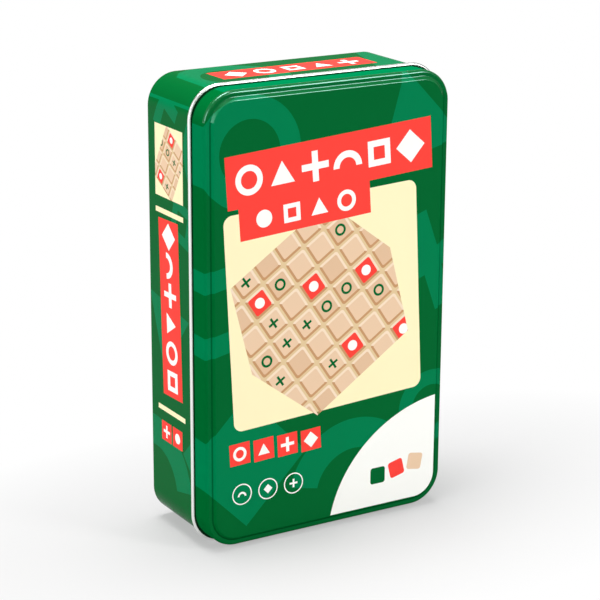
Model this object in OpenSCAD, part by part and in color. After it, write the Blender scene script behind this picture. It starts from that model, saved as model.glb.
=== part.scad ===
// Travel case for a word tile game: a hinged tin with a tray, three board segments and letter tiles.
// The case stands upright on +Z with its lid facing -Y. Every piece is drawn with the case lying on
// its back, from the back of the case at z = 0 up to the lid, and standing() then sets it upright.

/* [Letter tiles] */
// Width and height of a board cell inside its ribs
cell_w = 17; // [14:0.5:20]
// Clearance on each side of a tile in its cell
tile_play = 0.3; // [0.2:0.05:0.6]
// Thickness of a tile
tile_t = 5; // [4:0.5:7]
// Tile stacks side by side in the tray
tile_columns = 2; // [2:1:3]
// Tiles on top of each other in a stack
tile_layers = 5; // [4:1:6]
// Gap between tiles along a row of stacks
tile_row_gap = 0.1; // [0.05:0.05:0.5]
// Clearance beside the tile stacks in their well
tile_well_play = 0.4; // [0.2:0.05:1]

/* [Board segments] */
// Cells across one segment
cell_columns = 3; // [2:1:4]
// Cells along one segment
cell_rows = 9; // [8:1:10]
// Width of the ribs between cells
rib_w = 2; // [1.5:0.1:3]
// Border on the outer edges of the board
edge_border = 5.5; // [3:0.5:9]
// Border beside a seam between two segments
seam_border = 1.7; // [1:0.1:3]
// Thickness of the base plate
plate_t = 7.5; // [7:0.1:10]
// Thickness of the glued grid
grid_t = 2.5; // [1.5:0.1:3.5]
// Diameter of a magnet disc
magnet_d = 5; // [3:0.1:6]
// Thickness of a magnet disc
magnet_t = 3; // [2:0.1:4]
// Clearance round and behind a magnet in its pocket
magnet_play = 0.05; // [0.02:0.01:0.1]
// Cells from the middle of a seam to each magnet
magnet_cell = 3; // [1:1:3]

/* [Insert tray] */
// Thickness of the tray sheet
tray_t = 0.7; // [0.5:0.05:1]
// Clearance beside the boards in their well
board_play = 0.4; // [0.2:0.05:1]
// Clearance beyond the ends of the boards
end_play = 0.5; // [0.3:0.05:1]
// Width of the web between the wells
web_w = 4; // [3:0.1:8]
// Width of the tray's rim on its long sides
side_rim = 6.3; // [5:0.1:12]
// Width of the tray's rim at its ends
end_rim = 4.4; // [3:0.1:10]
// Depth of the contents below the top of the tray
sink = 0.6; // [0.2:0.1:1.5]
// Room under the board well
under_room = 12; // [6:0.1:20]
// Gap between stacked pieces, and between a piece and its seat
stack_gap = 0.05; // [0.02:0.01:0.1]

/* [Leaflet] */
// Thickness of the folded leaflet
leaflet_t = 0.5; // [0.3:0.1:2]
// Width of the folded leaflet
leaflet_w = 105; // [102:0.5:106]
// Length of the folded leaflet
leaflet_len = 148; // [120:1:175]

/* [Tin] */
// Thickness of the tinplate
tin_t = 0.3; // [0.2:0.01:0.4]
// Distance from the back of the case to the middle of the bead
rim_z = 37.1; // [30:0.1:40]
// Clearance between the tray and the neck
tray_play = 0.35; // [0.2:0.05:1]
// Clearance between the neck and the lid
lid_play = 0.25; // [0.15:0.01:0.5]
// Height of the neck above the bead
neck_h = 3; // [2:0.1:6]
// Radius of the body's corners
wall_corner_r = 13; // [10:0.5:18]
// Diameter of the bead rolled round the mouth
bead_d = 1.7; // [1.5:0.1:2.4]
// Distance that the bead stands proud of the wall
bead_proud = 1.2; // [1:0.1:1.6]
// Height of the hem round the base
hem_h = 1.6; // [1.2:0.1:3]
// Clearance in the hem for the edge of the base panel
hem_play = 0.05; // [0.02:0.01:0.1]
// Radius on the edges of the hem
hem_r = 0.3; // [0.1:0.05:0.4]
// Width of the flat round the base panel's pressed field
base_flat = 8; // [4:0.5:15]
// Depth of the base panel's pressed field
field_drop = 0.6; // [0.3:0.1:1]
// Width of the lapped side seam
seam_w = 6; // [4:0.5:10]

/* [Lid] */
// Room between the tray and the lid's panel
lid_room = 3.35; // [1:0.05:4.5]
// Distance that the lid's skirt lies inside the line of the wall
lid_inset = 0.2; // [0.1:0.05:0.5]
// Radius of the lid's corners
lid_corner_r = 14; // [11:0.5:19]
// Gap between the bead and the lid's skirt
lid_gap = 0.15; // [0.1:0.05:0.3]
// Radius of the lid's outer edge
lid_edge_r = 1.1; // [0.7:0.1:2]
// Width of the flat shoulder between the edge and the riser
shoulder_w = 1.1; // [0.1:0.1:2]
// Height of the raised panel above the shoulder
panel_rise = 1.2; // [0.8:0.1:2]
// Radius of the bends at the foot and the top of the riser
riser_r = 0.7; // [0.5:0.05:0.9]
// Slope of the riser in degrees
riser_angle = 45; // [35:1:60]

/* [Hinge] */
// Length of the row of knuckles
hinge_len = 46; // [30:1:80]
// Number of knuckles, both leaves together
knuckles = 5; // [3:2:9]
// Gap between two knuckles
knuckle_gap = 0.2; // [0.1:0.05:0.5]
// Diameter of the wire pin
pin_d = 1.2; // [1:0.05:1.4]
// Clearance round the pin
pin_play = 0.05; // [0.02:0.01:0.1]
// Clearance round a knuckle where it turns in the other sheet
knuckle_play = 0.1; // [0.05:0.01:0.15]

/* [Hidden] */
SEGMENTS = ["left", "middle", "right"];
// Each kind of tile and how many of it there are
TILE_FACES = [
    ["a", 8], ["b", 3], ["c", 3], ["d", 4], ["e", 9], ["f", 3], ["g", 3], ["h", 3], ["i", 7],
    ["j", 2], ["k", 2], ["l", 4], ["m", 4], ["n", 5], ["o", 7], ["p", 3], ["q", 1], ["r", 5],
    ["s", 5], ["t", 5], ["u", 4], ["v", 2], ["w", 2], ["x", 1], ["y", 2], ["z", 1], ["blank", 2]
];

// Step through the tiles in order that shuffles them over the stacks
SHUFFLE_STEP = 37;
SHUFFLE_START = 11;

eps = 0.01;
arc_steps = 6;
$fn = 64;

// Board segments
cell_pitch = cell_w + rib_w;
board_len = cell_rows * cell_pitch - rib_w + 2 * edge_border;
grid_span = cell_columns * cell_pitch - rib_w;
outer_segment_w = grid_span + edge_border + seam_border;
middle_segment_w = grid_span + 2 * seam_border;
board_t = plate_t + grid_t;
board_pitch = board_t + stack_gap;
magnet_y = magnet_cell * cell_pitch;
pocket_d = magnet_d + 2 * magnet_play;
pocket_depth = magnet_t + 2 * magnet_play;

// Tiles
tile_w = cell_w - 2 * tile_play;
tile_pitch = tile_w + tile_row_gap;
layer_pitch = tile_t + stack_gap;
tile_total = sum([for (f = TILE_FACES) f[1]]);
tile_stack_rows = ceil(tile_total / (tile_columns * tile_layers));

// Wells of the tray, with their floors measured down from the top of the tray
board_well_w = outer_segment_w + 2 * board_play;
tile_well_w = tile_columns * tile_w + (tile_columns + 1) * tile_well_play;
well_len = max(board_len, tile_stack_rows * tile_pitch) + 2 * end_play;
board_well_depth = len(SEGMENTS) * board_pitch + sink;
tile_well_depth = tile_layers * layer_pitch + sink;
tray_w = board_well_w + web_w + tile_well_w + 2 * side_rim;
tray_len = well_len + 2 * end_rim;
tray_depth = max(board_well_depth, tile_well_depth) + tray_t + under_room;
board_well_x = -tray_w / 2 + side_rim;
tile_well_x = board_well_x + board_well_w + web_w;
finger_len = well_len - end_play - tile_stack_rows * tile_pitch;

// Outlines of the tin, each from the one inside it
neck_out = tray_play + tin_t;
lid_out = neck_out + lid_play + tin_t;
wall_w = tray_w + 2 * (lid_out + lid_inset);
wall_len = tray_len + 2 * (lid_out + lid_inset);
case_w = wall_w + 2 * bead_proud;
case_h = wall_len + 2 * bead_proud;
lid_w = wall_w - 2 * lid_inset;
lid_len = wall_len - 2 * lid_inset;
neck_inset = lid_inset + tin_t + lid_play;
neck_w = wall_w - 2 * neck_inset;
neck_len = wall_len - 2 * neck_inset;
neck_corner_r = lid_corner_r - tin_t - lid_play;
tray_corner_r = neck_corner_r - tin_t - tray_play;

// Heights above the back of the case
base_z = hem_h + tin_t;
tray_top = base_z + tray_depth;
panel_z = tray_top + lid_room + tin_t;
shoulder_z = panel_z - panel_rise;
case_d = panel_z;
bead_r = bead_d / 2;
bead_x = bead_proud - bead_r;
shelf_z = rim_z + bead_r;
skirt_z = shelf_z + lid_gap;
hem_w = 3 * tin_t + 2 * hem_play;

// Riser of the lid's panel
riser_run = 2 * riser_r * sin(riser_angle)
    + (panel_rise - 2 * riser_r * (1 - cos(riser_angle))) / tan(riser_angle);
riser_foot = lid_edge_r + shoulder_w;
panel_inset = riser_foot + riser_run;

// Hinge, on the long side at +X
knuckle_r = pin_d / 2 + pin_play + tin_t;
pin_x = wall_w / 2 + bead_proud - knuckle_r;
knuckle_len = (hinge_len - (knuckles - 1) * knuckle_gap) / knuckles;

function sum(list, i = 0) = i < len(list) ? list[i] + sum(list, i + 1) : 0;

// Points on an arc, from one angle to another
function arc(cx, cy, r, from, to) =
    [for (i = [0:arc_steps]) let (a = from + (to - from) * i / arc_steps) [cx + r * cos(a), cy + r * sin(a)]];

// First place of each kind of tile when all tiles are laid out in order
function tiles_before(face) = sum([for (i = [0:1:face - 1]) TILE_FACES[i][1]]);

// Place in order of the tile that lies in one slot of the stacks
function tile_in_slot(slot) = (slot * SHUFFLE_STEP + SHUFFLE_START) % tile_total;

module standing() {
    translate([0, case_d / 2, case_h / 2]) rotate([90, 0, 0]) children();
}

// Rectangle with round corners, centred
module outline(w, h, r) {
    square([w - 2 * r, h], center = true);
    square([w, h - 2 * r], center = true);
    for (x = [-1, 1], y = [-1, 1]) translate([x * (w / 2 - r), y * (h / 2 - r)]) circle(r);
}

// Sweeps a section round an outline. In the section, x is the distance outward from the outline.
module sweep_round(w, h, r) {
    for (quarter = [0:3]) {
        across = quarter % 2 == 0 ? w : h;
        along = quarter % 2 == 0 ? h : w;
        rotate([0, 0, quarter * 90]) {
            translate([across / 2, along / 2 - r, 0]) rotate([90, 0, 0])
                linear_extrude(along - 2 * r) children();
            translate([across / 2 - r, along / 2 - r, 0]) rotate_extrude(angle = 90)
                translate([r, 0]) children();
        }
    }
}

module strip(x1, x2, y1, y2) {
    translate([x1, y1]) square([x2 - x1, y2 - y1]);
}

module box(from, to) {
    translate(from) cube(to - from);
}

function knuckle_start(i) = -hinge_len / 2 + i * (knuckle_len + knuckle_gap);

// Cylinder along the hinge over one knuckle, longer by a clearance at each end
module knuckle(i, r, longer = 0) {
    translate([pin_x, knuckle_start(i) - longer, rim_z]) rotate([-90, 0, 0])
        cylinder(r = r, h = knuckle_len + 2 * longer);
}

module pin_bore() {
    translate([pin_x, -(hinge_len + knuckle_gap) / 2, rim_z]) rotate([-90, 0, 0])
        cylinder(r = pin_d / 2 + pin_play, h = hinge_len + knuckle_gap);
}

// Hem, wall and rolled bead, as one sheet
module wall_section() {
    difference() {
        union() {
            strip(-hem_w, 0, hem_r, hem_h - hem_play);
            strip(-hem_w + hem_r, -hem_r, 0, 2 * hem_r);
            translate([-hem_w + hem_r, hem_r]) circle(hem_r);
            translate([-hem_r, hem_r]) circle(hem_r);
        }
        strip(-hem_w + tin_t, -tin_t, tin_t, hem_h);
    }
    strip(-tin_t, 0, hem_h - 2 * hem_play, rim_z - bead_r + tin_t);
    difference() {
        translate([bead_x, rim_z]) circle(bead_r);
        translate([bead_x, rim_z]) circle(bead_r - tin_t);
        strip(-bead_d, bead_x, rim_z - bead_r + tin_t, rim_z + bead_d);
        strip(-bead_d, -tin_t, rim_z - bead_d, rim_z);
    }
    strip(-tin_t, bead_x, shelf_z - tin_t, shelf_z);
}

// Flat shelf inside the bead, and the neck that stands on it inside the lid
module neck() {
    translate([0, 0, shelf_z - tin_t]) linear_extrude(tin_t) difference() {
        outline(wall_w, wall_len, wall_corner_r);
        outline(neck_w - 2 * tin_t, neck_len - 2 * tin_t, neck_corner_r - tin_t);
    }
    translate([0, 0, shelf_z - tin_t]) linear_extrude(neck_h + tin_t) difference() {
        outline(neck_w, neck_len, neck_corner_r);
        outline(neck_w - 2 * tin_t, neck_len - 2 * tin_t, neck_corner_r - tin_t);
    }
}

module body_wall() {
    zone = hinge_len / 2 + knuckle_gap;
    bead_cut_z = rim_z - (pin_d / 2 + pin_play);
    color([0, 0.4, 0.19]) standing() difference() {
        union() {
            difference() {
                union() {
                    sweep_round(wall_w, wall_len, wall_corner_r) wall_section();
                    neck();
                    // lap of the side seam, inside the lower end
                    box([-seam_w / 2, -wall_len / 2 + tin_t / 2, base_z + tin_t],
                        [seam_w / 2, -wall_len / 2 + 2 * tin_t, rim_z - bead_d]);
                }
                // the bead stops for the hinge
                box([wall_w / 2 - tin_t, -zone, bead_cut_z], [wall_w / 2 + bead_d, zone, shelf_z + eps]);
                box([wall_w / 2, -zone, rim_z - bead_d], [wall_w / 2 + bead_d, zone, shelf_z + eps]);
            }
            for (i = [0:2:knuckles - 1]) knuckle(i, knuckle_r);
        }
        pin_bore();
        // windows where the lid's knuckles turn, open as far as the neck
        for (i = [1:2:knuckles - 2]) {
            knuckle(i, knuckle_r + knuckle_play, knuckle_gap);
            box([wall_w / 2 - neck_inset, knuckle_start(i) - knuckle_gap, rim_z],
                [wall_w / 2 + bead_d, knuckle_start(i) + knuckle_len + knuckle_gap, shelf_z + eps]);
        }
    }
}

module base_panel() {
    edge = -tin_t - hem_play;
    field = -base_flat - field_drop;
    color([0.75, 0.76, 0.74]) standing() {
        sweep_round(wall_w, wall_len, wall_corner_r) {
            strip(edge - tin_t, edge, tin_t + hem_play, base_z);
            polygon([
                [edge, base_z], [edge, hem_h], [-base_flat, hem_h], [field, hem_h - field_drop],
                [field - tin_t, hem_h - field_drop], [field - tin_t, base_z - field_drop],
                [field, base_z - field_drop], [-base_flat, base_z]
            ]);
        }
        translate([0, 0, hem_h - field_drop]) linear_extrude(tin_t)
            outline(wall_w + 2 * field, wall_len + 2 * field, wall_corner_r + field);
    }
}

// One side of the lid's sheet, from the foot of the skirt to the panel, drawn inward by the sheet
function lid_side(sheet) = let (foot = -riser_foot, top = -panel_inset) concat(
    [[-sheet, skirt_z]],
    arc(-lid_edge_r, shoulder_z - lid_edge_r, lid_edge_r - sheet, 0, 90),
    arc(foot, shoulder_z + riser_r, riser_r + sheet, -90, -90 - riser_angle),
    arc(top, panel_z - riser_r, riser_r - sheet, 90 - riser_angle, 90),
    [[top - tin_t, panel_z - sheet]]
);

function reversed(list) = [for (i = [len(list) - 1:-1:0]) list[i]];

module lid_shell() {
    color([0, 0.4, 0.19]) standing() difference() {
        union() {
            difference() {
                union() {
                    sweep_round(lid_w, lid_len, lid_corner_r)
                        polygon(concat(lid_side(0), reversed(lid_side(tin_t))));
                    translate([0, 0, panel_z - tin_t]) linear_extrude(tin_t) outline(
                        lid_w - 2 * panel_inset, lid_len - 2 * panel_inset, lid_corner_r - panel_inset);
                }
                for (i = [0:2:knuckles - 1]) knuckle(i, knuckle_r + knuckle_play, knuckle_gap);
            }
            for (i = [1:2:knuckles - 2]) {
                knuckle(i, knuckle_r);
                box([lid_w / 2 - tin_t, knuckle_start(i), rim_z],
                    [lid_w / 2, knuckle_start(i) + knuckle_len, skirt_z + tin_t]);
            }
        }
        pin_bore();
    }
}

module hinge_pin() {
    color([0.7, 0.71, 0.72]) standing() translate([pin_x, -hinge_len / 2, rim_z]) rotate([-90, 0, 0])
        cylinder(d = pin_d, h = hinge_len);
}

// A well as a box from its floor up through the top of the tray, grown by a wall
module well(x, w, depth, grow, length = well_len, end = well_len / 2) {
    box([x - grow, end - length - grow, tray_top - depth - grow],
        [x + w + grow, end + grow, tray_top + eps]);
}

module wells(grow) {
    well(board_well_x, board_well_w, board_well_depth, grow);
    well(tile_well_x, tile_well_w, tile_well_depth, grow);
    // the finger gap at the free end of the tiles runs through the web
    well(tile_well_x - web_w - eps, web_w + 2 * eps, min(tile_well_depth, board_well_depth), grow, finger_len);
}

module insert_tray() {
    color([0.93, 0.91, 0.84]) standing() difference() {
        translate([0, 0, base_z]) linear_extrude(tray_depth) outline(tray_w, tray_len, tray_corner_r);
        wells(0);
        // the hollow under the sheet, left solid round the wells
        difference() {
            translate([0, 0, base_z - eps]) linear_extrude(tray_depth - tray_t + eps)
                outline(tray_w - 2 * tray_t, tray_len - 2 * tray_t, tray_corner_r - tray_t);
            wells(tray_t);
        }
    }
}

module rules_leaflet() {
    color([0.97, 0.96, 0.92]) standing()
        box([-leaflet_w / 2, -leaflet_len / 2, base_z], [leaflet_w / 2, leaflet_len / 2, base_z + leaflet_t]);
}

// Places a segment in the stack, with its lower left corner at the origin
module in_stack(segment) {
    standing() translate([
        board_well_x + board_play, -well_len / 2 + stack_gap,
        tray_top - board_well_depth + stack_gap + segment * board_pitch
    ]) children();
}

function segment_w(segment) = segment == 1 ? middle_segment_w : outer_segment_w;

// Border at the low side of a segment: an outer edge on the first one, a seam on the others
function low_border(segment) = segment == 0 ? edge_border : seam_border;

// Discs in the seam edges of a segment, set into the wood from each edge
module seam_discs(segment, d, depth, set_in) {
    for (y = [board_len / 2 - magnet_y, board_len / 2 + magnet_y]) {
        if (segment > 0) translate([set_in, y, plate_t / 2]) rotate([0, 90, 0]) cylinder(d = d, h = depth);
        if (segment < 2) translate([segment_w(segment) - set_in, y, plate_t / 2]) rotate([0, -90, 0])
            cylinder(d = d, h = depth);
    }
}

module board_plate(segment) {
    color([0.89, 0.77, 0.64]) in_stack(segment) difference() {
        cube([segment_w(segment), board_len, plate_t]);
        seam_discs(segment, pocket_d, pocket_depth + eps, -eps);
    }
}

module board_grid(segment) {
    color([0.93, 0.83, 0.72]) in_stack(segment) translate([0, 0, plate_t]) linear_extrude(grid_t)
        difference() {
            square([segment_w(segment), board_len]);
            for (i = [0:cell_columns - 1], j = [0:cell_rows - 1])
                translate([low_border(segment) + i * cell_pitch, edge_border + j * cell_pitch]) square(cell_w);
        }
}

module magnets(segment) {
    color([0.45, 0.46, 0.48]) in_stack(segment) seam_discs(segment, magnet_d, magnet_t, magnet_play);
}

// Every tile of one kind, where the shuffle has put it
module tiles(face) {
    first = tiles_before(face);
    stacks = tile_columns * tile_stack_rows;
    color([0.91, 0.72, 0.5]) standing() for (slot = [0:tile_total - 1]) {
        place = tile_in_slot(slot);
        if (place >= first && place < first + TILE_FACES[face][1]) {
            column = slot % tile_columns;
            row = floor(slot / tile_columns) % tile_stack_rows;
            layer = floor(slot / stacks);
            translate([
                tile_well_x + tile_well_play + column * (tile_w + tile_well_play),
                -well_len / 2 + stack_gap + row * tile_pitch,
                tray_top - tile_well_depth + stack_gap + layer * layer_pitch
            ]) cube([tile_w, tile_w, tile_t]);
        }
    }
}

body_wall();
base_panel();
lid_shell();
hinge_pin();
insert_tray();
rules_leaflet();
for (s = [0:len(SEGMENTS) - 1]) {
    board_plate(s);
    board_grid(s);
    magnets(s);
}
for (f = [0:len(TILE_FACES) - 1])
    tiles(f);
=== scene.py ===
import math

import bmesh
import bpy
from mathutils import Matrix, Vector


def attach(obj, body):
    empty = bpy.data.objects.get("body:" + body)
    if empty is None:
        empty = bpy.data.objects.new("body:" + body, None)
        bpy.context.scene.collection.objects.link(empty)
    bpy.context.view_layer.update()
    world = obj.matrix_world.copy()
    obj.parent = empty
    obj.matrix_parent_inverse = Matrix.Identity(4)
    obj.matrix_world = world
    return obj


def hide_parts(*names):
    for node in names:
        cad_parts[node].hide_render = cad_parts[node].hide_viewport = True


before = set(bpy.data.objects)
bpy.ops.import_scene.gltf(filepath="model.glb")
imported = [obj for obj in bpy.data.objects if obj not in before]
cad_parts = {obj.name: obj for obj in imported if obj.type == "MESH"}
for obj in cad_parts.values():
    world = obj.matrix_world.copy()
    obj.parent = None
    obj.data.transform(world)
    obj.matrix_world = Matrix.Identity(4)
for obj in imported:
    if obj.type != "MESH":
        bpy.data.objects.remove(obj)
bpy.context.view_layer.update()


# The tin is seen from its left front corner and a little above its top, upright, on white card.
# The camera is level apart from a third of a degree.
def placed(name, data):
    """A new object of the scene."""
    thing = bpy.data.objects.new(name, data)
    bpy.context.scene.collection.objects.link(thing)
    return thing


turn, dip, roll = math.radians(31.066), math.radians(16.939), math.radians(0.336)
sight = Vector((math.sin(turn) * math.cos(dip), math.cos(turn) * math.cos(dip), -math.sin(dip)))
level = Vector((math.cos(turn), -math.sin(turn), 0))
right = level * math.cos(roll) + level.cross(sight) * math.sin(roll)
stand = Vector((-0.43266, -0.71855, 0.35078))
camera_data = bpy.data.cameras.new("camera")
camera_data.lens = 124.07
camera_data.clip_start = 0.01
camera = placed("camera", camera_data)
camera.matrix_world = Matrix.LocRotScale(
    stand, Matrix((right, right.cross(sight), -sight)).transposed().to_quaternion(), None)
bpy.context.scene.camera = camera
bpy.context.scene.view_settings.view_transform = "Standard"


# The floor is white card in a dim white room under three soft lamps: one overhead, a tall narrow
# one in front and one at the left. The card shows plain white, also in metal and gloss, but for
# the tin's shadow, which it keeps near the tin.
def shader(name):
    """A new material, its node tree and its surface shader."""
    material = bpy.data.materials.new(name)
    material.use_nodes = True
    return material, material.node_tree, material.node_tree.nodes["Principled BSDF"]


def add_node(tree, kind, values=None, **settings):
    """A new node with its settings, and with the values of its inputs by name or number."""
    made = tree.nodes.new(kind)
    for name, value in settings.items():
        setattr(made, name, value)
    for socket, value in (values or {}).items():
        made.inputs[socket].default_value = value
    return made


def join(tree, *pairs):
    """Links from outputs to inputs."""
    for source, target in pairs:
        tree.links.new(source, target)


floor_half = 12
shadow_near, shadow_far, shadow_share = 0.03, 0.12, 0.4
card, tree, surface = shader("floor_card")
surface.inputs["Base Color"].default_value = (0.46, 0.46, 0.46, 1)
surface.inputs["Roughness"].default_value = 0.9
seen = add_node(tree, "ShaderNodeLightPath")
straight_or_gloss = add_node(tree, "ShaderNodeMath", operation="MAXIMUM")
view = add_node(tree, "ShaderNodeMath", operation="MAXIMUM")
spot = add_node(tree, "ShaderNodeTexCoord")
oval = add_node(tree, "ShaderNodeVectorMath", {1: (0.5, 1, 1)}, operation="MULTIPLY")
away = add_node(tree, "ShaderNodeVectorMath", operation="LENGTH")
fade = add_node(tree, "ShaderNodeMapRange", {
    "From Min": shadow_near, "From Max": shadow_far, "To Min": shadow_share, "To Max": 1.0})
share = add_node(tree, "ShaderNodeMath", operation="MULTIPLY")
white = add_node(tree, "ShaderNodeEmission")
shown = add_node(tree, "ShaderNodeMixShader")
join(
    tree,
    (seen.outputs["Is Camera Ray"], straight_or_gloss.inputs[0]),
    (seen.outputs["Is Glossy Ray"], straight_or_gloss.inputs[1]),
    (straight_or_gloss.outputs[0], view.inputs[0]), (seen.outputs["Is Transmission Ray"], view.inputs[1]),
    (spot.outputs["Object"], oval.inputs[0]), (oval.outputs[0], away.inputs[0]),
    (away.outputs["Value"], fade.inputs["Value"]), (view.outputs[0], share.inputs[0]),
    (fade.outputs[0], share.inputs[1]), (share.outputs[0], shown.inputs[0]),
    (surface.outputs[0], shown.inputs[1]), (white.outputs[0], shown.inputs[2]),
    (shown.outputs[0], tree.nodes["Material Output"].inputs["Surface"]))
floor_mesh = bpy.data.meshes.new("floor")
floor_mesh.from_pydata(
    [(-floor_half, -floor_half, 0), (floor_half, -floor_half, 0), (floor_half, floor_half, 0),
     (-floor_half, floor_half, 0)], [], [(0, 1, 2, 3)])
floor_mesh.materials.append(card)
floor = placed("floor", floor_mesh)

world = bpy.data.worlds.new("studio")
world.use_nodes = True
bpy.context.scene.world = world
room = world.node_tree.nodes["Background"]
room.inputs["Color"].default_value = (1, 1, 1, 1)
aim = add_node(world.node_tree, "ShaderNodeTexCoord")
height = add_node(world.node_tree, "ShaderNodeSeparateXYZ")
ceiling = add_node(world.node_tree, "ShaderNodeMapRange", {
    "From Min": 0.35, "From Max": 0.8, "To Min": 0.2, "To Max": 0.1})
join(
    world.node_tree, (aim.outputs["Generated"], height.inputs[0]),
    (height.outputs["Z"], ceiling.inputs["Value"]), (ceiling.outputs[0], room.inputs["Strength"]))

middle_of_tin = Vector((0, 0, 0.1))
for name, place, size, watts in (
        ("front_lamp", (0.8, -1.25, 0.74), (0.34, 1.0), 16), ("top_lamp", (-0.1, 0.15, 1.5), (0.9, 0.7), 29),
        ("left_lamp", (-1.4, -0.3, 0.6), (0.9, 0.9), 13)):
    light = bpy.data.lights.new(name, "AREA")
    light.shape = "RECTANGLE"
    light.size, light.size_y = size
    light.energy = watts
    towards = (middle_of_tin - Vector(place)).to_track_quat("-Z", "Y")
    placed(name, light).matrix_world = Matrix.LocRotScale(Vector(place), towards, None)


# Tinplate printed in gloss ink under clear varnish. The ink is laid down flat, colour on colour,
# before the sheet is pressed, and the bare metal shows wherever a part stays unprinted.
class Field:
    """A number that varies over a surface, made of the nodes of one material."""

    def __init__(self, tree, socket):
        self.tree, self.socket = tree, socket

    def math(self, operation, *others):
        node = self.tree.nodes.new("ShaderNodeMath")
        node.operation = operation
        for slot, value in zip(node.inputs, (self,) + others):
            if isinstance(value, Field):
                self.tree.links.new(value.socket, slot)
            else:
                slot.default_value = value
        return Field(self.tree, node.outputs[0])

    def __add__(self, other):
        return self.math("ADD", other)

    def __sub__(self, other):
        return self.math("SUBTRACT", other)

    def __mul__(self, other):
        return self.math("MULTIPLY", other)

    def __truediv__(self, other):
        return self.math("DIVIDE", other)

    def __lt__(self, other):
        return self.math("LESS_THAN", other)

    def __gt__(self, other):
        return self.math("GREATER_THAN", other)

    def __and__(self, other):
        return self.math("MULTIPLY", other)

    def __or__(self, other):
        return self.math("MAXIMUM", other)

    def without(self, other):
        return self * (other * -1 + 1)

    def size(self):
        return self.math("ABSOLUTE")


def places(tree):
    """Object coordinates in millimetres."""
    where = add_node(tree, "ShaderNodeTexCoord")
    parts = add_node(tree, "ShaderNodeSeparateXYZ")
    tree.links.new(where.outputs["Object"], parts.inputs[0])
    return [Field(tree, parts.outputs[i]) * 1000 for i in range(3)]


def turned(u, v, centre, degrees):
    """Coordinates about a centre, turned by an angle."""
    c, s = math.cos(math.radians(degrees)), math.sin(math.radians(degrees))
    a, b = u - centre[0], v - centre[1]
    return a * c + b * s, b * c - a * s


def bar(u, v, w, h):
    return (u.size() - w / 2).math("MAXIMUM", v.size() - h / 2) < 0


def rounded_bar(u, v, w, h, r):
    a = (u.size() - (w / 2 - r)).math("MAXIMUM", 0.0)
    b = (v.size() - (h / 2 - r)).math("MAXIMUM", 0.0)
    return (a * a + b * b) < r * r


def disc(u, v, r):
    return (u * u + v * v) < r * r


def ring(u, v, r, width):
    return ((u * u + v * v).math("SQRT") - r).size() < width / 2


def triangle(u, v, r):
    return (v * -1).math("MAXIMUM", u.size() * 0.866 + v * 0.5) < r / 2


def cross(u, v, r, width):
    return bar(u, v, 2 * r, width) | bar(u, v, width, 2 * r)


def diamond(u, v, r):
    return (u.size() + v.size()) < r


def sign(kind, u, v, r):
    """One simple shape out of the set that decorates the tin."""
    if kind == "ring":
        return ring(u, v, r * 0.78, r * 0.4)
    if kind == "triangle":
        return triangle(u, v + r * 0.2, r)
    if kind == "cross":
        return cross(u, v, r, r * 0.45)
    if kind == "diamond":
        return diamond(u, v, r * 1.1)
    if kind == "square":
        return bar(u, v, r * 1.7, r * 1.7).without(bar(u, v, r * 0.85, r * 0.85))
    if kind == "arch":
        return ring(u, v + r * 0.5, r * 0.85, r * 0.45) & ((v + r * 0.5) > 0)
    return disc(u, v, r * 0.8)


def blocks(tree, u, v, pitch, size):
    """A lattice of square blocks: face, flat top, upper half, a chance for each, and place in it."""
    column, row = (u / pitch).math("FLOOR"), (v / pitch).math("FLOOR")
    a, b = (u / pitch - column - 0.5) * pitch, (v / pitch - row - 0.5) * pitch
    both = add_node(tree, "ShaderNodeCombineXYZ")
    chance = add_node(tree, "ShaderNodeTexWhiteNoise", noise_dimensions="2D")
    join(
        tree, (column.socket, both.inputs[0]), (row.socket, both.inputs[1]),
        (both.outputs[0], chance.inputs["Vector"]))
    face = rounded_bar(a, b, size, size, size * 0.12)
    flat_top = rounded_bar(a, b, size * 0.8, size * 0.8, size * 0.08)
    return face, flat_top, (a + b) > 0, Field(tree, chance.outputs["Value"]), a, b


INK = {
    "green": "00622b", "light": "007b4a", "crease_shade": "003c1a", "red": "ff453c", "cream": "fff4c6",
    "white": "fdfdf8", "wood": "eccbaa", "wood_dark": "c9976a", "wood_pale": "f6dfc6",
}


def linear(colour):
    """The shader colour of a printed colour such as 00652e."""
    parts = [int(colour[i:i + 2], 16) / 255 for i in (0, 2, 4)]
    return [c / 12.92 if c <= 0.04045 else ((c + 0.055) / 1.055) ** 2.4 for c in parts] + [1]


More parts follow.
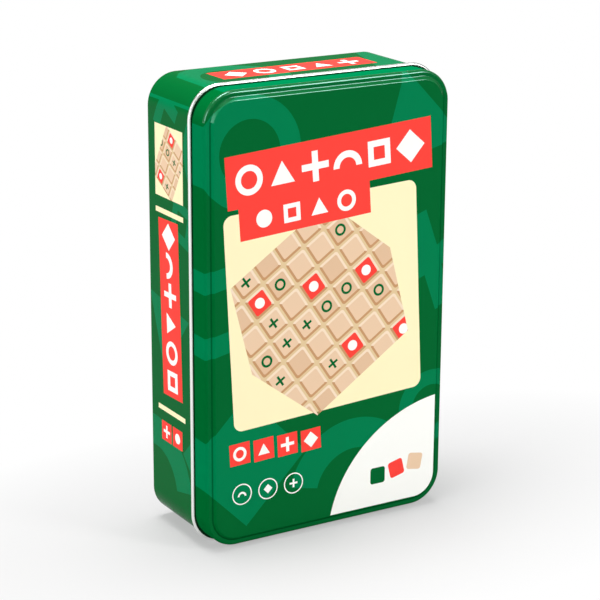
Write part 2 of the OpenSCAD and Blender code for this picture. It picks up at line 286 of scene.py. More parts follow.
class Print:
    """The colour of a printed sheet, built up one ink after another on the green ground."""

    def __init__(self, tree):
        self.tree = tree
        start = add_node(tree, "ShaderNodeRGB")
        start.outputs[0].default_value = linear(INK["green"])
        self.colour = start.outputs[0]

    def ink(self, name, where, share=1.0):
        mix = add_node(self.tree, "ShaderNodeMix", data_type="RGBA", label=name)
        if share < 1:
            where = where * share
        self.tree.links.new(where.socket, mix.inputs["Factor"])
        self.tree.links.new(self.colour, mix.inputs[6])
        mix.inputs[7].default_value = linear(INK[name])
        self.colour = mix.outputs[2]

    def ground(self, u, v, shift=0):
        """Large plain shapes in a lighter green, laid over the whole sheet."""
        for kind, centre, r, angle in (
                ("ring", (-38, 168), 24, 0), ("triangle", (40, 176), 25, 14), ("cross", (50, 112), 22, 20),
                ("square", (-52, 104), 21, 12), ("diamond", (-40, 38), 26, 0), ("arch", (16, 30), 30, -12),
                ("ring", (52, 46), 17, 0), ("triangle", (2, 86), 20, 190)):
            a, b = turned(u - shift, v, centre, angle)
            self.ink("light", sign(kind, a, b, r))

    def banner(self, where, u, v, w, h, kinds, r, pitch=0):
        """A red strip with a row of white signs along u in its middle."""
        strip = bar(u, v, w, h) & where
        self.ink("red", strip)
        row = None
        for i, kind in enumerate(kinds):
            shape = sign(kind, u - pitch * (i - (len(kinds) - 1) / 2), v, r)
            row = shape if row is None else row | shape
        self.ink("white", strip & row)

    def wooden_blocks(self, where, u, v, pitch, size):
        """A board of square blocks, some of them red, and some with a ring or a cross."""
        face, flat_top, upper, chance, a, b = blocks(self.tree, u, v, pitch, size)
        face = face & where
        flat_top = face & flat_top
        self.ink("wood_dark", where, 0.55)
        self.ink("wood_dark", face)
        self.ink("wood_pale", face & upper)
        self.ink("wood", flat_top)
        self.ink("wood_dark", flat_top & (chance > 0.6), 0.25)
        red = flat_top & (chance < 0.16)
        self.ink("red", red)
        self.ink("white", red & disc(a, b, size * 0.22))
        self.ink("green", flat_top & ring(a, b, size * 0.2, size * 0.1) & (chance > 0.84))
        self.ink("green", flat_top & cross(a, b, size * 0.24, size * 0.1) & (chance > 0.3) & (chance < 0.42))


def object_point(tree):
    """The place on a piece, in its own coordinates."""
    return add_node(tree, "ShaderNodeTexCoord").outputs["Object"]


def noise(tree, point, scale, detail=2.0, distortion=0.0):
    """Noise at a point, from 0 to 1."""
    speckle = add_node(tree, "ShaderNodeTexNoise", {
        "Scale": scale, "Detail": detail, "Distortion": distortion})
    tree.links.new(point, speckle.inputs["Vector"])
    return speckle.outputs["Fac"]


def roughened(tree, surface, amount, least, most):
    """Roughness that goes from least to most with an amount."""
    rough = add_node(tree, "ShaderNodeMapRange", {"To Min": least, "To Max": most})
    join(tree, (amount, rough.inputs["Value"]), (rough.outputs[0], surface.inputs["Roughness"]))


def relief(tree, height, strength, depth, under=None):
    """The normals of a fine relief, laid over another one where that is given."""
    bump = add_node(tree, "ShaderNodeBump", {"Strength": strength, "Distance": depth})
    tree.links.new(height, bump.inputs["Height"])
    if under:
        tree.links.new(under, bump.inputs["Normal"])
    return bump.outputs[0]


def toned(tree, amount, dark, pale, start=0.0, end=1.0):
    """Colours from a dark to a pale one with an amount."""
    tone = add_node(tree, "ShaderNodeValToRGB")
    first, last = tone.color_ramp.elements
    first.position, first.color = start, dark
    last.position, last.color = end, pale
    tree.links.new(amount, tone.inputs["Fac"])
    return tone.outputs["Color"]


def varnished(tree, surface, colour, gloss, glint):
    """Gloss of the varnish, its faint orange peel and the slight waviness of the sheet."""
    point = object_point(tree)
    peel, wave = noise(tree, point, 900, 1), noise(tree, point, 22, 1)
    fine = relief(tree, peel, 0.12, 0.00002)
    wide = relief(tree, wave, 0.25, 0.0004, fine)
    roughened(tree, surface, wave, 0.16, 0.28)
    surface.inputs["Specular IOR Level"].default_value = gloss
    surface.inputs["Specular Tint"].default_value = (glint, 1.0, 0.95, 1)
    join(tree, (wide, surface.inputs["Normal"]), (colour, surface.inputs["Base Color"]))


# The body is one sheet bent round four corners: hemmed over the base panel below, rolled out into a bare bead
# at the mouth, and drawn in above it, past a flat painted near-black green as shade, to the neck that the lid
# slides over. Its sides and its top are printed.
side_x, top_z = 57.6, 193.0
side_middle, strip_z, patch_z, badge_z = 6.4, 98, 160, 43
ground_shift, ground_top = 8, 166
wall_print, tree, surface = shader("wall_print")
x, y, z = places(tree)
art = Print(tree)
side = (x.size() - side_x) > 0
top = z > top_z
art.ground(y * side + x.without(side), z.without(top) + (y + ground_top) * top, ground_shift)
art.ink("light", sign("ring", *turned(x, z, (-49, 186), 0), 14).without(side | top))
art.ink("light", sign("cross", *turned(y, z, (11, 186), 28), 13) & side)
art.ink("light", sign("square", *turned(y, z, (-4, 137), 15), 10) & side)
patch = bar(y - side_middle, z - patch_z, 24, 30) & side
art.ink("cream", patch)
a, b = turned(y, z, (6, patch_z), 30)
art.wooden_blocks(bar(a, b, 19, 25) & patch, a, b, 6.4, 5.8)
a, b = turned(y, z, (side_middle, strip_z), -2)
art.banner(side, b, a * -1, 76, 17, ("square", "ring", "triangle", "cross", "arch", "diamond"), 5.2, 12.4)
for rule_z in (139, 53):
    art.ink("cream", bar(y - side_middle, z - rule_z, 24, 2.2) & side)
for kind, badge_y in (("dot", 1.5), ("cross", 11.3)):
    art.banner(side, y - badge_y, z - badge_z, 8.6, 8.6, (kind,), 2.8)
a, b = turned(x, y, (0, side_middle), 1)
art.banner(top, a, b, 74, 15, ("diamond", "ring", "square", "triangle", "cross"), 4.8, 13.6)
varnished(tree, surface, art.colour, 0.02, 0.3)

# The flat between the bead and the neck is painted near-black green, a little mottled, as painted shade of
# the gap under the lid's edge.
shelf_painted_shade, tree, surface = shader("shelf_painted_shade")
shelf_shade_mottle = noise(tree, object_point(tree), 400)
tree.links.new(toned(tree, shelf_shade_mottle, linear("002913"), linear("00401f")), surface.inputs["Base Color"])
surface.inputs["Roughness"].default_value = 0.7
surface.inputs["Specular IOR Level"].default_value = 0.1


def bare_metal(name, least, most):
    """Bare tinplate with the faint grain of rolling, its roughness from least to most."""
    material, tree, surface = shader(name)
    surface.inputs["Metallic"].default_value = 1.0
    grain = add_node(tree, "ShaderNodeMapping", {"Scale": (1, 1, 0.06)})
    tree.links.new(object_point(tree), grain.inputs[0])
    rolled = noise(tree, grain.outputs[0], 1400, 3)
    roughened(tree, surface, rolled, least, most)
    join(
        tree, (toned(tree, rolled, (0.82, 0.83, 0.81, 1), (0.90, 0.91, 0.89, 1), 0.3, 0.75),
               surface.inputs["Base Color"]),
        (relief(tree, rolled, 0.04, 0.00002), surface.inputs["Normal"]))
    return material


bare_tin = bare_metal("bare_tin", 0.14, 0.26)
bead_tin = bare_metal("bead_tin", 0.36, 0.48)

mm = 0.001
tin_t = 0.3 * mm
half = tin_t / 2
tin_back, tin_middle = 24.5 * mm, 97.5 * mm
# From the tin lying on its back to the tin standing on its end
standing = Matrix(((1, 0, 0, 0), (0, 0, -1, tin_back), (0, 1, 0, tin_middle), (0, 0, 0, 1)))
inner_z = 20 * mm
wall_w, wall_len, wall_corner_r = 116.4 * mm, 192.6 * mm, 13 * mm
neck_w, neck_len, neck_corner_r = 114.9 * mm, 191.1 * mm, 13.45 * mm
bead_x, bead_z, bead_r = 0.35 * mm, 37.1 * mm, 0.85 * mm
bead_foot_z, neck_foot_z = 36.35 * mm, 38.2 * mm
shelf_z = bead_z + bead_r - half
hinge_len, knuckle_gap = 46 * mm, 0.2 * mm
knuckle_len = (hinge_len - 4 * knuckle_gap) / 5

sweep = bpy.data.node_groups.new("sheet_round_the_tin", "GeometryNodeTree")


def named_inputs(tree, *kinds):
    """The inputs of a tree by name."""
    return {name: tree.interface.new_socket(name, in_out="INPUT", socket_type=kind) for name, kind in kinds}


sweep_inputs = named_inputs(
    sweep, ("Section", "NodeSocketGeometry"), ("Width", "NodeSocketFloat"), ("Length", "NodeSocketFloat"),
    ("Corner Radius", "NodeSocketFloat"), ("Corner Steps", "NodeSocketInt"), ("Metal", "NodeSocketMaterial"))
sweep.interface.new_socket("Sheet", in_out="OUTPUT", socket_type="NodeSocketGeometry")
given = add_node(sweep, "NodeGroupInput")
path = add_node(sweep, "GeometryNodeCurvePrimitiveQuadrilateral")
fillet = add_node(sweep, "GeometryNodeFilletCurve", mode="POLY")
section = add_node(sweep, "GeometryNodeMeshToCurve")
swept = add_node(sweep, "GeometryNodeCurveToMesh")
real = add_node(sweep, "GeometryNodeRealizeInstances")
metal = add_node(sweep, "GeometryNodeSetMaterial")
made = add_node(sweep, "NodeGroupOutput")
join(
    sweep,
    (given.outputs["Width"], path.inputs["Width"]), (given.outputs["Length"], path.inputs["Height"]),
    (path.outputs["Curve"], fillet.inputs["Curve"]),
    (given.outputs["Corner Radius"], fillet.inputs["Radius"]),
    (given.outputs["Corner Steps"], fillet.inputs["Count"]),
    (given.outputs["Section"], section.inputs["Mesh"]), (fillet.outputs["Curve"], swept.inputs["Curve"]),
    (section.outputs["Curve"], swept.inputs["Profile Curve"]),
    (swept.outputs["Mesh"], real.inputs["Geometry"]), (real.outputs["Geometry"], metal.inputs["Geometry"]),
    (given.outputs["Metal"], metal.inputs["Material"]), (metal.outputs["Geometry"], made.inputs["Sheet"]))


def applied(piece):
    """Makes the piece's modifiers part of its mesh."""
    bpy.context.view_layer.update()
    shaped = piece.evaluated_get(bpy.context.evaluated_depsgraph_get())
    mesh = bpy.data.meshes.new_from_object(shaped)
    piece.modifiers.clear()
    piece.data = mesh


def shaped_by(tree, inputs, name, points, values):
    """A piece that a tree of nodes shapes from a line of points and the values of its inputs."""
    mesh = bpy.data.meshes.new(name)
    mesh.from_pydata(points, [(i, i + 1) for i in range(len(points) - 1)], [])
    piece = placed(name, mesh)
    modifier = piece.modifiers.new("shape", "NODES")
    modifier.node_group = tree
    for socket, value in values.items():
        modifier[inputs[socket].identifier] = value
    applied(piece)
    return piece


def sheet_round_the_tin(name, line, width, length, radius, material, steps=24):
    """A sheet whose section follows a line of (distance out from the outline, height) points."""
    return shaped_by(sweep, sweep_inputs, name, [(out, -up, 0) for out, up in line], {
        "Width": width, "Length": length, "Corner Radius": radius, "Corner Steps": steps, "Metal": material})


def bend(cx, cz, r, start, end, steps=8):
    """Points of a section along a bend."""
    return [
        (cx + r * math.cos(math.radians(start + (end - start) * i / steps)),
         cz + r * math.sin(math.radians(start + (end - start) * i / steps)))
        for i in range(steps + 1)
    ]


def edges_at(shell, height):
    """The open edges of a sheet at one height."""
    return [e for e in shell.edges if e.is_boundary and all(abs(v.co.z - height) < 1e-6 for v in e.verts)]


def thickened(piece, thickness, inner_material=None):
    """Gives the sheet its thickness about its middle, with the inner side in a second material."""
    if inner_material:
        piece.data.materials.append(inner_material)
    solid = piece.modifiers.new("thickness", "SOLIDIFY")
    solid.thickness = thickness
    solid.offset = 0
    solid.use_even_offset = True
    if inner_material:
        solid.material_offset = 1
        solid.material_offset_rim = 1
    applied(piece)


def smoothed(piece, degrees=35):
    """Smooth shading with crisp edges, and flats that stay flat."""
    piece.data.shade_smooth()
    piece.data.set_sharp_from_angle(angle=math.radians(degrees))
    weigh = piece.modifiers.new("flats", "WEIGHTED_NORMAL")
    weigh.keep_sharp = True
    applied(piece)


wall_top = 36.1 * mm
wall_line = (
    [(-0.85 * mm, 1.5 * mm), (-0.85 * mm, 0.45 * mm)] + bend(-0.7 * mm, 0.3 * mm, half, 180, 270, 4)
    + bend(-0.3 * mm, 0.3 * mm, half, 270, 360, 4)
    + [(-half, 0.6 * mm), (-half, 1.5 * mm), (-half, 35 * mm), (-half, wall_top)]
    + bend(bead_x, bead_z, bead_r - half, -122, 90, 14) + [(0.1 * mm, shelf_z)])
neck_line = (
    [(0.05 * mm, shelf_z)] + bend(0, shelf_z + half, half, 270, 180, 3)
    + [(-half, 38.4 * mm), (-half, 40.6 * mm), (-half, 40.95 * mm)])
body = sheet_round_the_tin("body_sheet", wall_line, wall_w, wall_len, wall_corner_r, wall_print)
neck = sheet_round_the_tin("neck", neck_line, neck_w, neck_len, neck_corner_r, wall_print)
shell = bmesh.new()
shell.from_mesh(body.data)
shell.from_mesh(neck.data)
bpy.data.objects.remove(neck)
bmesh.ops.bridge_loops(shell, edges=edges_at(shell, shelf_z))

# The bead and the shelf stop for the hinge, and open as far as the neck where the lid's knuckles turn
stop_x, stop_y, stop_z = 57.9 * mm, hinge_len / 2 + knuckle_gap, 36.45 * mm
turn_x, turn_from, turn_to = 57.5 * mm, knuckle_len / 2, 1.5 * knuckle_len + 2 * knuckle_gap
cuts = [((0, y, 0), (0, 1, 0)) for y in (-stop_y, -turn_to, -turn_from, turn_from, turn_to, stop_y)]
for point, normal in cuts + [((0, 0, stop_z), (0, 0, 1)), ((stop_x, 0, 0), (1, 0, 0))]:
    near = [f for f in shell.faces if f.calc_center_median().x > 57 * mm]
    edges = {e for f in near for e in f.edges}
    verts = {v for f in near for v in f.verts}
    bmesh.ops.bisect_plane(shell, geom=near + list(edges) + list(verts), plane_co=point, plane_no=normal)
gone = []
for face in shell.faces:
    centre = face.calc_center_median()
    stops = centre.x > stop_x and centre.z > stop_z and abs(centre.y) < stop_y
    turns = centre.x > turn_x and centre.z > wall_top and turn_from < abs(centre.y) < turn_to
    if stops or turns:
        gone.append(face)
bmesh.ops.delete(shell, geom=gone, context="FACES")
bmesh.ops.remove_doubles(shell, verts=shell.verts, dist=1e-6)
bmesh.ops.recalc_face_normals(shell, faces=shell.faces)
outer = max(shell.faces, key=lambda f: f.calc_area())
if outer.normal.dot(outer.calc_center_median() - Vector((0, 0, inner_z))) < 0:
    bmesh.ops.reverse_faces(shell, faces=shell.faces)
shell.to_mesh(body.data)
shell.free()
thickened(body, tin_t, bare_tin)
body.data.materials.append(shelf_painted_shade)
body.data.materials.append(bead_tin)
for face in body.data.polygons:
    if face.center.z > neck_foot_z:
        face.material_index = 1
    # The flat under the lid's edge takes the painted shade.
    elif face.center.z > shelf_z + half - 5e-6:
        face.material_index = 2
    elif face.center.z > bead_foot_z:
        face.material_index = 3
body.data.transform(standing)
smoothed(body)
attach(body, "case")
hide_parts("body_wall")

# The base panel is a separate sheet of bare tinplate. Its edge is turned up inside the hem and
# held by it, and its middle is pressed outward by 0.6 mm, short of the hem, to keep it stiff.
field_z = 1.15 * mm
base_line = (
    [(-0.5 * mm, 0.45 * mm), (-0.5 * mm, 1.55 * mm)] + bend(-0.7 * mm, 1.55 * mm, 0.2 * mm, 0, 90, 3)
    + [(-1.3 * mm, 1.75 * mm), (-7.6 * mm, 1.75 * mm)] + bend(-8 * mm, 1.45 * mm, 0.3 * mm, 90, 150, 3)
    + bend(-8.75 * mm, 1.45 * mm, 0.3 * mm, 330, 270, 3) + [(-9.4 * mm, field_z)])
base = sheet_round_the_tin("base_sheet", base_line, wall_w, wall_len, wall_corner_r, bare_tin, 16)


def filled(piece, height):
    """Closes the sheet's inner border at one height with a flat face."""
    shell = bmesh.new()
    shell.from_mesh(piece.data)
    bmesh.ops.holes_fill(shell, edges=edges_at(shell, height))
    bmesh.ops.recalc_face_normals(shell, faces=shell.faces)
    flat = max(shell.faces, key=lambda f: f.calc_area())
    if flat.normal.z * (height - inner_z) < 0:
        bmesh.ops.reverse_faces(shell, faces=shell.faces)
    shell.to_mesh(piece.data)
    shell.free()


filled(base, field_z)
thickened(base, tin_t)
base.data.transform(standing)
smoothed(base)
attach(base, "case")
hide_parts("base_panel")

# The lid is drawn from one sheet, printed outside: a skirt that slides over the neck, a rounded edge, and a
# riser up to the flat panel. Its bends that face up get strong gloss so that they show the lamps' highlights,
# the skirt and the other bends are dull, the skirt's top is painted lighter as light from above, and the foot
# of the riser is painted darker as shade.
panel_z = 97.5
panel_w, panel_h, panel_corner_r, panel_y = 108.0, 184.2, 10.0, -22.9
foot_w, foot_h, foot_corner_r, foot_y = 112.0, 188.2, 12, -22.2
foot_band = 0.9
lid_print, tree, surface = shader("lid_print")
x, y, z = places(tree)
art = Print(tree)
art.ground(x, z)
panel = rounded_bar(x, z - panel_z, panel_w, panel_h, panel_corner_r) & (y < panel_y)
a, b = turned(x, z, (-2, 100), 3)
art.ink("cream", rounded_bar(a, b, 92, 92, 4) & panel)
a, b = turned(x, z, (-4, 98), 34)
picture = ((a.size() + b.size() * 0.35) < 40) & (b.size() < 37) & panel
art.wooden_blocks(picture, a + 3, b + 6, 11.5, 10.4)
a, b = turned(x, z, (0, 160), 4)
art.banner(panel, a, b, 98, 22, ("ring", "triangle", "cross", "arch", "square", "diamond"), 6.4, 15.4)
a, b = turned(x, z, (-12, 142), 4)
art.banner(panel, a, b, 62, 15, ("dot", "square", "triangle", "ring"), 4.6, 13)
for i, kind in enumerate(("ring", "triangle", "cross", "diamond")):
    a, b = turned(x, z, (-43 + 11.4 * i, 42), 3)
    art.banner(panel, a, b, 9.6, 9.6, (kind,), 3.2)
for i, kind in enumerate(("arch", "diamond", "cross")):
    a, b = x - (-42 + 12.4 * i), z - 24
    art.ink("white", ring(a, b, 4.4, 0.5) & panel)
    art.ink("white", sign(kind, a, b, 1.9) & panel)
corner = disc(x - 62, (z + 6) * 1.08, 62) & panel
art.ink("white", corner)
for i, (name, angle) in enumerate((("green", 0), ("red", 14), ("wood", -10))):
    a, b = turned(x, z, (25 + 9.5 * i, 19 + 1.5 * i), angle)
    art.ink(name, corner & rounded_bar(a, b, 7.4, 7.4, 1.2))
varnished(tree, surface, art.colour, 0.06, 0.3)

# A glossy copy of the print for the bends that face up, so that they show the lamps' highlights; the gloss is
# given by the way they face, as a painted highlight.
lid_bends, tree, surface = shader("lid_bends")
x, y, z = places(tree)
art = Print(tree)
art.ground(x, z)
varnished(tree, surface, art.colour, 1.0, 0.6)

lid_skirt, tree, surface = shader("lid_skirt")
x, y, z = places(tree)
art = Print(tree)
art.ground(x, z)
# The skirt's top is painted lighter, as painted light falling from above.
art.ink("light", z > top_z, 0.8)
# A band at the foot of the riser is painted darker, as painted shade in the crease.
foot = rounded_bar(x, z - panel_z, foot_w, foot_h, foot_corner_r) & (y < foot_y)
riser = rounded_bar(
    x, z - panel_z, foot_w - 2 * foot_band, foot_h - 2 * foot_band, foot_corner_r - foot_band)
art.ink("crease_shade", foot.without(riser), 0.6)
varnished(tree, surface, art.colour, 0.0, 0.3)

lid_w, lid_len, lid_corner_r = 116 * mm, 192.2 * mm, 14 * mm
skirt_z, edge_z, panel_sheet_z = 38.1 * mm, 46 * mm, 48.85 * mm
lid_line = (
    [(-half, skirt_z), (-half, 38.5 * mm), (-half, edge_z)]
    + bend(-1.1 * mm, 46.7 * mm, 0.95 * mm, 0, 90, 10)
    + bend(-2.2 * mm, 48.5 * mm, 0.85 * mm, 270, 225, 7)
    + bend(-3.98 * mm, 48.3 * mm, 0.55 * mm, 45, 90, 7)
    + [(-4.4 * mm, panel_sheet_z), (-6.2 * mm, panel_sheet_z)])
lid = sheet_round_the_tin("lid_sheet", lid_line, lid_w, lid_len, lid_corner_r, lid_print, 28)
filled(lid, panel_sheet_z)
thickened(lid, tin_t, bare_tin)
lid.data.materials.append(lid_bends)
lid.data.materials.append(lid_skirt)
# Bends facing up take the glossy copy for their highlights; the skirt and the other bends take the dull one.
for face in lid.data.polygons:
    if face.material_index == 0 and face.normal.z < 0.985:
        face.material_index = 2 if face.center.z > edge_z and face.normal.y > 0.15 else 3
lid.data.transform(standing)
smoothed(lid)
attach(lid, "lid")
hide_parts("lid_shell")

# The hinge is a row of five knuckles on a steel wire. Each knuckle is a tab of the body's or the
# lid's own sheet, rolled round the wire, and the two leaves take turns along it.
pin_x, pin_z, knuckle_r = 58.45 * mm, 37.1 * mm, 0.8 * mm
body_leaf_x, lid_leaf_x = 58.05 * mm, 57.85 * mm
knuckle_row = bpy.data.node_groups.new("row_of_knuckles", "GeometryNodeTree")
row_inputs = named_inputs(
    knuckle_row, ("Section", "NodeSocketGeometry"), ("Count", "NodeSocketInt"), ("Pitch", "NodeSocketVector"),
    ("First", "NodeSocketVector"), ("Length", "NodeSocketVector"), ("Metal", "NodeSocketMaterial"))
knuckle_row.interface.new_socket("Knuckles", in_out="OUTPUT", socket_type="NodeSocketGeometry")
given = add_node(knuckle_row, "NodeGroupInput")
spots = add_node(knuckle_row, "GeometryNodeMeshLine")
along = add_node(knuckle_row, "GeometryNodeCurvePrimitiveLine")
section = add_node(knuckle_row, "GeometryNodeMeshToCurve")
rolled = add_node(knuckle_row, "GeometryNodeCurveToMesh")
each = add_node(knuckle_row, "GeometryNodeInstanceOnPoints")
real = add_node(knuckle_row, "GeometryNodeRealizeInstances")
metal = add_node(knuckle_row, "GeometryNodeSetMaterial")
made = add_node(knuckle_row, "NodeGroupOutput")
join(
    knuckle_row,
    (given.outputs["Count"], spots.inputs["Count"]), (given.outputs["Pitch"], spots.inputs["Offset"]),
    (given.outputs["First"], spots.inputs["Start Location"]), (given.outputs["Length"], along.inputs["End"]),
    (given.outputs["Section"], section.inputs["Mesh"]), (along.outputs["Curve"], rolled.inputs["Curve"]),
    (section.outputs["Curve"], rolled.inputs["Profile Curve"]),
    (spots.outputs["Mesh"], each.inputs["Points"]),
    (rolled.outputs["Mesh"], each.inputs["Instance"]), (each.outputs["Instances"], real.inputs["Geometry"]),
    (real.outputs["Geometry"], metal.inputs["Geometry"]), (given.outputs["Metal"], metal.inputs["Material"]),
    (metal.outputs["Geometry"], made.inputs["Knuckles"]))

body_leaf = [(body_leaf_x, 35.6 * mm), (body_leaf_x, 36.2 * mm)] + bend(pin_x, pin_z, knuckle_r, 240, 570, 30)
lid_leaf = [(lid_leaf_x, 38.5 * mm), (lid_leaf_x, 37.8 * mm)] + bend(pin_x, pin_z, knuckle_r, 138.6, 468, 30)
knuckle_pitch = knuckle_len + knuckle_gap
for name, line, count, first_y, rides_on in (
        ("body_knuckles", body_leaf, 3, -hinge_len / 2, "case"),
        ("lid_knuckles", lid_leaf, 2, -hinge_len / 2 + knuckle_pitch, "lid")):
    piece = shaped_by(knuckle_row, row_inputs, name, [(out, -up, 0) for out, up in line], {
        "Count": count, "Pitch": (0, 2 * knuckle_pitch, 0), "First": (0, first_y, 0),
        "Length": (0, knuckle_len, 0), "Metal": bare_tin})
    thickened(piece, tin_t)
    shell = bmesh.new()
    shell.from_mesh(piece.data)
    bmesh.ops.recalc_face_normals(shell, faces=shell.faces)
    shell.to_mesh(piece.data)
    shell.free()
    piece.data.transform(standing)
    smoothed(piece)
    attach(piece, rides_on)

steel_wire, tree, surface = shader("steel_wire")
surface.inputs["Metallic"].default_value = 1.0
surface.inputs["Base Color"].default_value = (0.56, 0.57, 0.58, 1)
roughened(tree, surface, noise(tree, object_point(tree), 3000), 0.2, 0.4)


def dressed(node, material):
    """A node whose shape is right as it is gets its finish."""
    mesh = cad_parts[node].data
    mesh.materials.clear()
    mesh.materials.append(material)


dressed("hinge_pin", steel_wire)

# The insert tray is thin cream plastic, formed warm over a mould, so that its edges are soft. A
# wide well holds the boards, a narrow one the tiles, with a finger gap through the web.
tray_plastic, tree, surface = shader("tray_plastic")
point = object_point(tree)
mould, cloud = noise(tree, point, 700, 3), noise(tree, point, 35)
join(
    tree, (toned(tree, cloud, linear("e9e2cf"), linear("f1ecdc")), surface.inputs["Base Color"]),
    (relief(tree, mould, 0.2, 0.00005), surface.inputs["Normal"]))
surface.inputs["Roughness"].default_value = 0.42


def softened(node, name, radius, material, segments=3):
    """Puts a copy with rounded edges in a node's place."""
    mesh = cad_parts[node].data.copy()
    shell = bmesh.new()
    shell.from_mesh(mesh)
    bmesh.ops.remove_doubles(shell, verts=shell.verts, dist=1e-6)
    bmesh.ops.dissolve_limit(shell, angle_limit=0.02, verts=shell.verts, edges=shell.edges)
    shell.to_mesh(mesh)
    shell.free()
    mesh.materials.clear()
    mesh.materials.append(material)
    if mesh.attributes.get("custom_normal"):
        mesh.attributes.remove(mesh.attributes["custom_normal"])
    piece = placed(name, mesh)
    edge = piece.modifiers.new("edges", "BEVEL")
    edge.width = radius
    edge.segments = segments
    edge.limit_method = "ANGLE"
    edge.angle_limit = math.radians(40)
    applied(piece)
    smoothed(piece)
    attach(piece, "case")
    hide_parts(node)


softened("insert_tray", "tray_sheet", 0.3 * mm, tray_plastic)

# The leaflet is one strip of uncoated paper, folded in four so that its leaves lie on each other
# in turn. It lies loose on the base panel, under the tray.
leaflet_paper, tree, surface = shader("leaflet_paper")
fibre = noise(tree, object_point(tree), 500, 4)
tree.links.new(toned(tree, fibre, linear("efece2"), linear("faf8f2")), surface.inputs["Base Color"])
surface.inputs["Roughness"].default_value = 0.85
leaves, leaf_half_w, leaf_half_len, leaf_t = 4, 51.9 * mm, 74 * mm, 0.08 * mm
first_leaf_z, leaf_pitch, fold_out = 1.99 * mm, 0.11 * mm, 0.05 * mm
leaf_line = []
for leaf in range(leaves):
    leaf_z = first_leaf_z + leaf * leaf_pitch
    way = 1 if leaf % 2 == 0 else -1
    leaf_line += [(-way * leaf_half_w, leaf_z), (way * leaf_half_w, leaf_z)]
    if leaf < leaves - 1:
        leaf_line += [(way * (leaf_half_w + fold_out), leaf_z + leaf_pitch / 2)]
leaflet_mesh = bpy.data.meshes.new("folded_leaflet")
leaflet_mesh.from_pydata(
    [(x, y, z) for y in (-leaf_half_len, leaf_half_len) for x, z in leaf_line], [],
    [(i, i + 1, i + 1 + len(leaf_line), i + len(leaf_line)) for i in range(len(leaf_line) - 1)])
leaflet_mesh.materials.append(leaflet_paper)
leaflet = placed("folded_leaflet", leaflet_mesh)
thickened(leaflet, leaf_t)
leaflet.data.transform(standing)
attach(leaflet, "case")
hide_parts("rules_leaflet")


# Three board segments of sanded beech lie in the wide well. Each is a plate with a grid of ribs
# glued on, and magnets in its seam edges pull the segments together on the table.
def wood(name, pale, dark, cells=None):
    """Sanded wood with its grain along the tin's height. Cells give each loose piece its own grain."""
    material, tree, surface = shader(name)
    point = object_point(tree)
    if cells:
        spots = add_node(tree, "ShaderNodeCombineXYZ")
        for i, (axis, (start, pitch)) in enumerate(zip(places(tree), cells)):
            tree.links.new(((axis - start) / pitch).math("FLOOR").socket, spots.inputs[i])
        chance = add_node(tree, "ShaderNodeTexWhiteNoise", noise_dimensions="3D")
        shifted = add_node(tree, "ShaderNodeVectorMath", operation="ADD")
        join(
            tree, (spots.outputs[0], chance.inputs["Vector"]), (point, shifted.inputs[0]),
            (chance.outputs["Color"], shifted.inputs[1]))
        point = shifted.outputs[0]
    along = add_node(tree, "ShaderNodeMapping", {"Scale": (1, 1, 0.09)})
    tree.links.new(point, along.inputs[0])
    rings, pores = noise(tree, along.outputs[0], 260, 4, 0.4), noise(tree, along.outputs[0], 1800)
    colour = toned(tree, rings, linear(dark), linear(pale), 0.32, 0.68)
    if cells:
        hue = add_node(tree, "ShaderNodeHueSaturation")
        shade = add_node(tree, "ShaderNodeMapRange", {"To Min": 0.86, "To Max": 1.06})
        join(
            tree, (chance.outputs["Value"], shade.inputs["Value"]), (shade.outputs[0], hue.inputs["Value"]),
            (colour, hue.inputs["Color"]))
        colour = hue.outputs["Color"]
    surface.inputs["Roughness"].default_value = 0.6
    join(
        tree, (colour, surface.inputs["Base Color"]),
        (relief(tree, pores, 0.3, 0.00006), surface.inputs["Normal"]))
    return material


plate_wood = wood("plate_wood", "e8c8a6", "d6ab80")
grid_wood = wood("grid_wood", "f0d7b8", "dfb98f")
magnet_nickel, tree, surface = shader("magnet_nickel")
surface.inputs["Metallic"].default_value = 1.0
surface.inputs["Base Color"].default_value = (0.66, 0.65, 0.62, 1)
roughened(tree, surface, noise(tree, object_point(tree), 1500), 0.15, 0.35)
for part in ("left", "middle", "right"):
    softened(f"board_{part}_plate", f"plate_{part}", 0.25 * mm, plate_wood, 2)
    softened(f"board_{part}_grid", f"grid_{part}", 0.2 * mm, grid_wood, 1)
    dressed(f"magnets_{part}", magnet_nickel)

# One hundred letter tiles of sanded maple lie in stacks of five in the narrow well, shuffled.
# Each has rounded edges and one capital letter printed on its face. Two are blank. Their sizes
# are in millimetres.
tile_w, tile_t, tile_edge_r = 16.4, 5.0, 0.7
column_gap, row_gap, layer_gap = 0.4, 0.1, 0.05
column_pitch, row_pitch, layer_pitch = tile_w + column_gap, tile_w + row_gap, tile_t + layer_gap
first_x, first_y, first_z = 16.9, 4.95, 7.05
columns, rows, deal_step, deal_start = 2, 10, 37, 11
LETTERS = "a8 b3 c3 d4 e9 f3 g3 h3 i7 j2 k2 l4 m4 n5 o7 p3 q1 r5 s5 t5 u4 v2 w2 x1 y2 z1 _2".split()
order = [letter[0] for letter in LETTERS for _ in range(int(letter[1:]))]
tile_spots = []
for spot in range(len(order)):
    column, row, layer = spot % columns, spot // columns % rows, spot // (columns * rows)
    middle = Vector((
        first_x + column * column_pitch + tile_w / 2, first_y - layer * layer_pitch - tile_t / 2,
        first_z + row * row_pitch + tile_w / 2)) * mm
    tile_spots.append((order[(spot * deal_step + deal_start) % len(order)], middle))

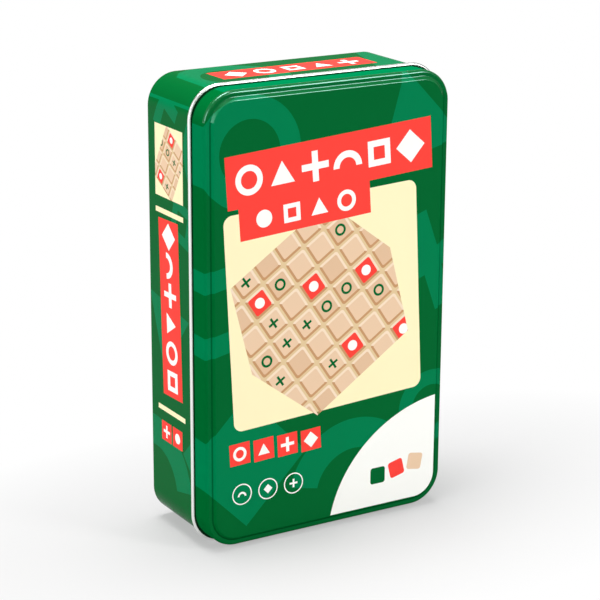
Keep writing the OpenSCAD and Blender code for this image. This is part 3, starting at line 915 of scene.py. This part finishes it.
tile_wood = wood("tile_wood", "f0d2a8", "dfb482", (
    (first_x - column_gap / 2, column_pitch), (first_y + layer_gap / 2 - 6 * layer_pitch, layer_pitch),
    (first_z - row_gap / 2, row_pitch)))
one = bmesh.new()
bmesh.ops.create_cube(one, size=1, matrix=Matrix.Diagonal((tile_w * mm, tile_t * mm, tile_w * mm, 1)))
bmesh.ops.bevel(one, geom=one.edges[:], offset=tile_edge_r * mm, segments=2, profile=0.5, affect="EDGES")
tile_mesh = bpy.data.meshes.new("one_tile")
one.to_mesh(tile_mesh)
one.free()
tile_shape = placed("one_tile", tile_mesh)

stacks = bpy.data.node_groups.new("stacks_of_tiles", "GeometryNodeTree")
stack_inputs = named_inputs(
    stacks, ("Places", "NodeSocketGeometry"), ("Tile", "NodeSocketObject"), ("Wood", "NodeSocketMaterial"))
stacks.interface.new_socket("Tiles", in_out="OUTPUT", socket_type="NodeSocketGeometry")
given = add_node(stacks, "NodeGroupInput")
shape = add_node(stacks, "GeometryNodeObjectInfo")
each = add_node(stacks, "GeometryNodeInstanceOnPoints")
real = add_node(stacks, "GeometryNodeRealizeInstances")
finish = add_node(stacks, "GeometryNodeSetMaterial")
made = add_node(stacks, "NodeGroupOutput")
join(
    stacks,
    (given.outputs["Places"], each.inputs["Points"]), (given.outputs["Tile"], shape.inputs["Object"]),
    (shape.outputs["Geometry"], each.inputs["Instance"]),
    (each.outputs["Instances"], real.inputs["Geometry"]),
    (real.outputs["Geometry"], finish.inputs["Geometry"]), (given.outputs["Wood"], finish.inputs["Material"]),
    (finish.outputs["Geometry"], made.inputs["Tiles"]))
tiles = shaped_by(
    stacks, stack_inputs, "letter_tiles", [middle for letter, middle in tile_spots],
    {"Tile": tile_shape, "Wood": tile_wood})
bpy.data.objects.remove(tile_shape)
smoothed(tiles, 60)
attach(tiles, "case")
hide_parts(*[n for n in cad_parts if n.startswith("tiles_")])

letter_ink, tree, surface = shader("letter_ink")
surface.inputs["Base Color"].default_value = linear("2a2320")
roughened(tree, surface, noise(tree, object_point(tree), 2500), 0.45, 0.7)
letter_size, ink_lift = 11, 0.01
printed = bmesh.new()
shapes = {}
for letter, middle in tile_spots:
    if letter == "_":
        continue
    if letter not in shapes:
        text = bpy.data.curves.new("letter", "FONT")
        text.body = letter.upper()
        text.size = letter_size * mm
        text.align_x, text.align_y = "CENTER", "CENTER"
        text.resolution_u = 3
        drawn = placed("letter", text)
        bpy.context.view_layer.update()
        flat = drawn.evaluated_get(bpy.context.evaluated_depsgraph_get())
        shapes[letter] = bpy.data.meshes.new_from_object(flat)
        bpy.data.objects.remove(drawn)
    front = Matrix.Translation(middle - Vector((0, (tile_t / 2 + ink_lift) * mm, 0)))
    face = shapes[letter].copy()
    face.transform(front @ Matrix.Rotation(math.pi / 2, 4, "X"))
    printed.from_mesh(face)
letters_mesh = bpy.data.meshes.new("tile_letters")
printed.to_mesh(letters_mesh)
printed.free()
letters_mesh.materials.clear()
letters_mesh.materials.append(letter_ink)
letters = placed("tile_letters", letters_mesh)
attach(letters, "case")
